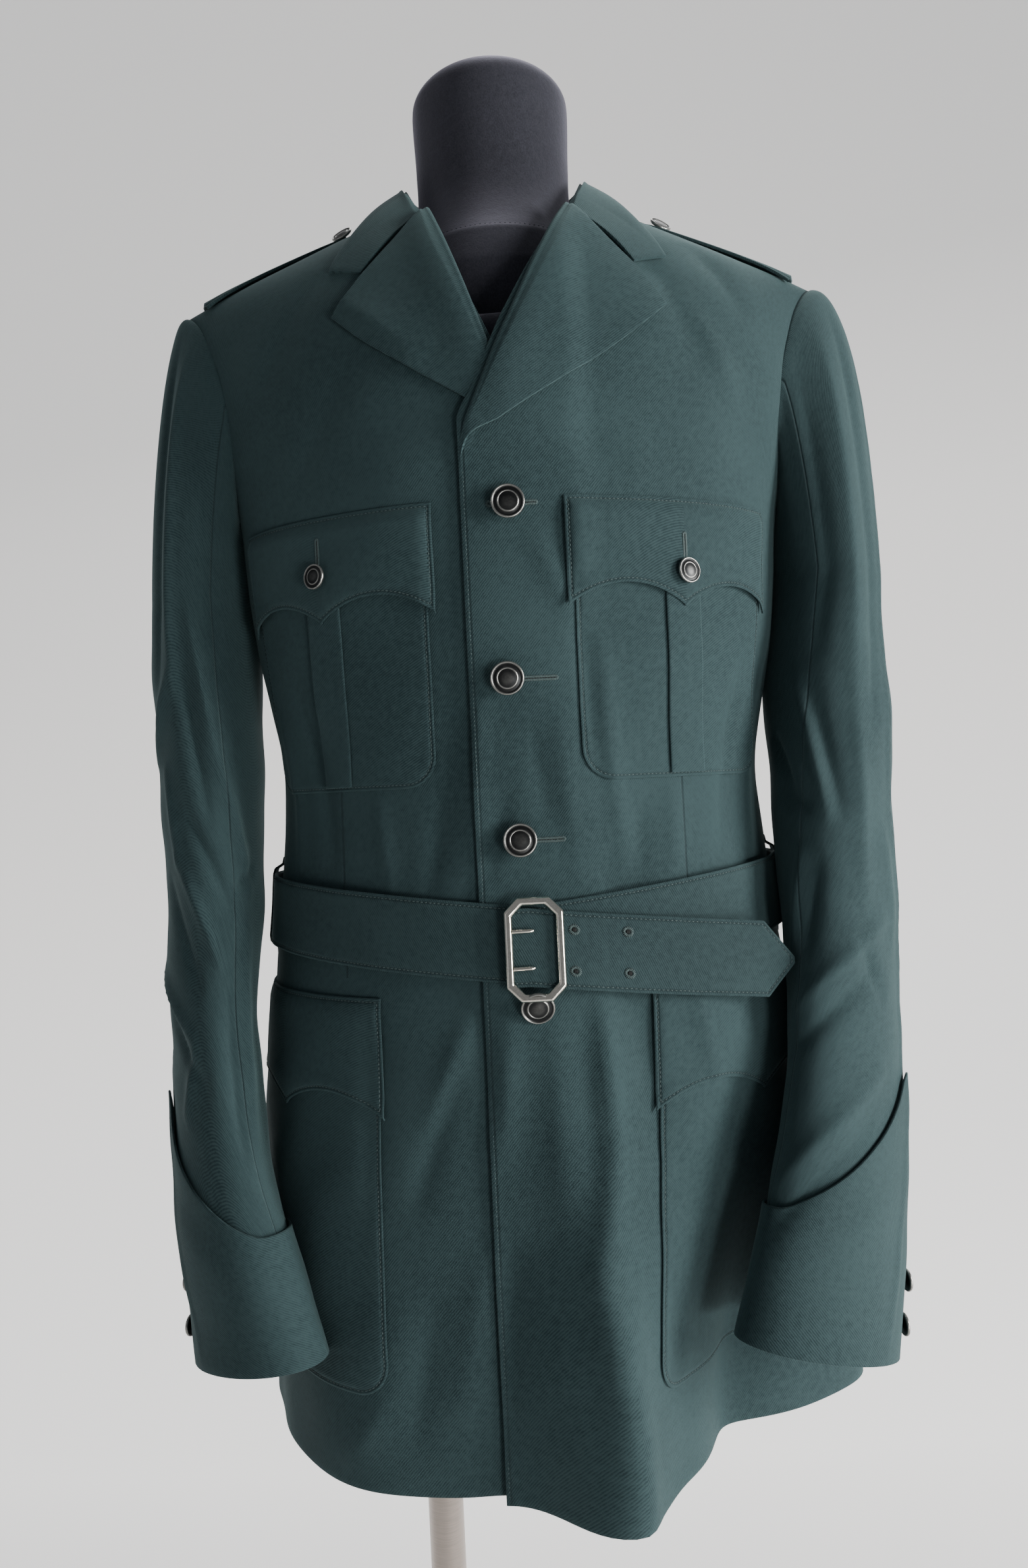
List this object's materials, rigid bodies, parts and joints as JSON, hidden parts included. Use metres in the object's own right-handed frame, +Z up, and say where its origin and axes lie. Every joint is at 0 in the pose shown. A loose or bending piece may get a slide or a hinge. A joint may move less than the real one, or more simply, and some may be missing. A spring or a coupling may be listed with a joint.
{
  "type": "service dress tunic on a dress form",
  "caption": "Long belted service dress tunic with lapels, flapped patch pockets, shoulder straps and pointed cuffs, worn by a limbless dress form on a pole stand.",
  "frame": {"origin": "on the floor, below the middle of the garment, on the underside of the stand's base", "axes": "+Z up, -Y to the front of the tunic, +X to the wearer's left"},
  "size_m": [0.5502, 0.3533, 1.588],
  "materials": {
    "tunic_cloth": "dark green wool barathea, fine diagonal twill",
    "tunic_trim": "the same barathea, pressed and edge-stitched",
    "belt_cloth": "the same barathea over stiff webbing, edge-stitched",
    "button_dark": "blackened metal, semi-gloss",
    "buckle_steel": "polished plating, slightly warm",
    "form_jersey": "black cotton jersey",
    "stand_steel": "brushed steel tube",
    "base_paint": "satin black powder coat"
  },
  "bodies": {
    "root": {"back_left": "tunic_cloth", "back_right": "tunic_cloth", "belt": "belt_cloth", "belt_end": "belt_cloth", "belt_loop_left": "belt_cloth", "belt_loop_right": "belt_cloth", "breast_flap_left": "tunic_trim", "breast_flap_right": "tunic_trim", "breast_pleat_left": "tunic_trim", "breast_pleat_right": "tunic_trim", "breast_pocket_left": "tunic_trim", "breast_pocket_right": "tunic_trim", "buckle_frame": "buckle_steel", "buckle_prong_1": "buckle_steel", "buckle_prong_2": "buckle_steel", "collar": "tunic_trim", "cuff_left": "tunic_trim", "cuff_right": "tunic_trim", "dress_form": "form_jersey", "epaulette_button_left": "button_dark", "epaulette_button_right": "button_dark", "epaulette_left": "tunic_trim", "epaulette_right": "tunic_trim", "front_button_1": "button_dark", "front_button_2": "button_dark", "front_button_3": "button_dark", "front_button_4": "button_dark", "front_left": "tunic_cloth", "front_right": "tunic_cloth", "hip_flap_left": "tunic_trim", "hip_flap_right": "tunic_trim", "hip_pocket_left": "tunic_trim", "hip_pocket_right": "tunic_trim", "lapel_left": "tunic_trim", "lapel_right": "tunic_trim", "pocket_button_left": "button_dark", "pocket_button_right": "button_dark", "sleeve_button_left_1": "button_dark", "sleeve_button_left_2": "button_dark", "sleeve_button_right_1": "button_dark", "sleeve_button_right_2": "button_dark", "sleeve_top_left": "tunic_cloth", "sleeve_top_right": "tunic_cloth", "sleeve_under_left": "tunic_cloth", "sleeve_under_right": "tunic_cloth", "stand_base": "base_paint", "stand_pole": "stand_steel"}
  },
  "joints": []
}
